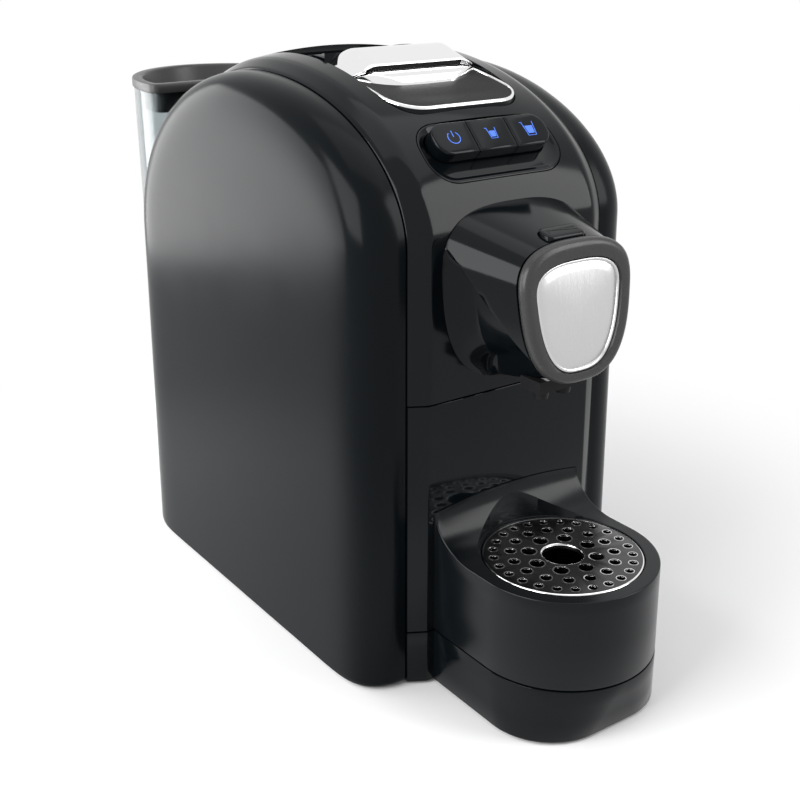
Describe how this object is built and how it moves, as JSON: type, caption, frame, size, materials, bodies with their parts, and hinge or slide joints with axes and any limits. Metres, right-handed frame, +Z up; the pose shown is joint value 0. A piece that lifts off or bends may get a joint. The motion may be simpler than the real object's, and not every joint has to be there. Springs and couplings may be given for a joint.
{
  "type": "pod coffee machine",
  "caption": "Counter-top pod coffee machine with an arched housing, flip-up lever, push buttons, round drip column, pull-out drawer and lift-off rear water tank.",
  "frame": {"origin": "centre of the bounding box on the floor plane, under the feet", "axes": "+X to the machine's left-hand side seen from behind (right seen from the front), +Y to the tank at the back, +Z up"},
  "size_m": [0.146, 0.38, 0.268],
  "materials": {
    "gloss_black": "high gloss, coal black",
    "satin_black": "satin black",
    "chrome": "polished chrome plating",
    "dark_steel": "dark coated steel",
    "silver": "fine brushed silver",
    "clear": "clear tank plastic",
    "rubber": "soft black rubber",
    "grey_plastic": "moulded grey plastic",
    "steel": "plain steel",
    "cast_aluminium": "cast aluminium",
    "hose": "translucent silicone",
    "circuit": "green board"
  },
  "bodies": {
    "housing": {"left_side_panel": "gloss_black", "right_side_panel": "gloss_black", "top_cover": "gloss_black", "rear_cover": "satin_black", "base_tray": "gloss_black", "rubber_feet": "rubber", "drawer_rails": "grey_plastic", "left_chassis_wall": "grey_plastic", "right_chassis_wall": "grey_plastic", "panel_screws": "steel", "nose_shell": "gloss_black", "nose_bezel": "gloss_black", "badge_plate": "silver", "spout": "satin_black", "coffee_channel": "grey_plastic", "brew_frame": "grey_plastic", "brew_head": "steel", "thermoblock": "cast_aluminium", "thermostats": "steel", "capsule_chute": "satin_black", "hinge_pin": "steel", "button_bezel": "gloss_black", "button_board": "circuit", "pump": "steel", "pump_mounts": "rubber", "flow_meter": "grey_plastic", "tank_hose": "hose", "pump_inlet_hose": "hose", "pressure_hose": "hose", "tank_coupling": "rubber", "control_board": "circuit", "cord_gland": "rubber"},
    "lever": {"lever_plate": "satin_black", "lever_rim": "chrome", "lever_front_pad": "satin_black", "lever_grip": "chrome", "lever_rear_pad": "gloss_black", "lever_arms": "steel", "drive_pin": "steel"},
    "carriage": {"capsule_holder": "grey_plastic", "slide_bars": "grey_plastic", "holder_gasket": "rubber"},
    "power_key": {"power_button": "gloss_black"},
    "small_cup_key": {"small_cup_button": "gloss_black"},
    "large_cup_key": {"large_cup_button": "gloss_black"},
    "catch": {"nose_catch": "satin_black"},
    "drawer": {"lower_front_panel": "gloss_black", "drip_column": "gloss_black", "capsule_bin": "satin_black"},
    "disc": {"drip_disc": "dark_steel"},
    "tank": {"water_tank": "clear", "tank_valve": "grey_plastic"},
    "lid": {"tank_lid": "satin_black"}
  },
  "joints": [
    {"name": "lever_hinge", "type": "hinge", "parent": "housing", "child": "lever", "pos_m": [0, 0.0205, 0.254], "axis": [-1, 0, 0], "range_deg": [0, 80]},
    {"name": "holder_slide", "type": "slide", "parent": "housing", "child": "carriage", "axis": [0, -1, 0], "range_m": [0, 0.0284]},
    {"name": "power_press", "type": "slide", "parent": "housing", "child": "power_key", "axis": [0, 0.7071, -0.7071], "range_m": [0, 0.0015], "stiffness_N_per_m": 800},
    {"name": "small_cup_press", "type": "slide", "parent": "housing", "child": "small_cup_key", "axis": [0, 0.7071, -0.7071], "range_m": [0, 0.0015], "stiffness_N_per_m": 800},
    {"name": "large_cup_press", "type": "slide", "parent": "housing", "child": "large_cup_key", "axis": [0, 0.7071, -0.7071], "range_m": [0, 0.0015], "stiffness_N_per_m": 800},
    {"name": "catch_press", "type": "slide", "parent": "housing", "child": "catch", "axis": [0, 0, -1], "range_m": [0, 0.0015], "stiffness_N_per_m": 800},
    {"name": "drawer_slide", "type": "slide", "parent": "housing", "child": "drawer", "axis": [0, -1, 0], "range_m": [0, 0.11]},
    {"name": "disc_lift", "type": "slide", "parent": "drawer", "child": "disc", "axis": [0, 0, 1], "range_m": [0, 0.03]},
    {"name": "tank_lift", "type": "slide", "parent": "housing", "child": "tank", "axis": [0, 0, 1], "range_m": [0, 0.06]},
    {"name": "lid_lift", "type": "slide", "parent": "tank", "child": "lid", "axis": [0, 0, 1], "range_m": [0, 0.03]}
  ],
  "couplings": [
    {"joint": "holder_slide", "follows": "lever_hinge", "m_per_rad": 0.02025}
  ]
}
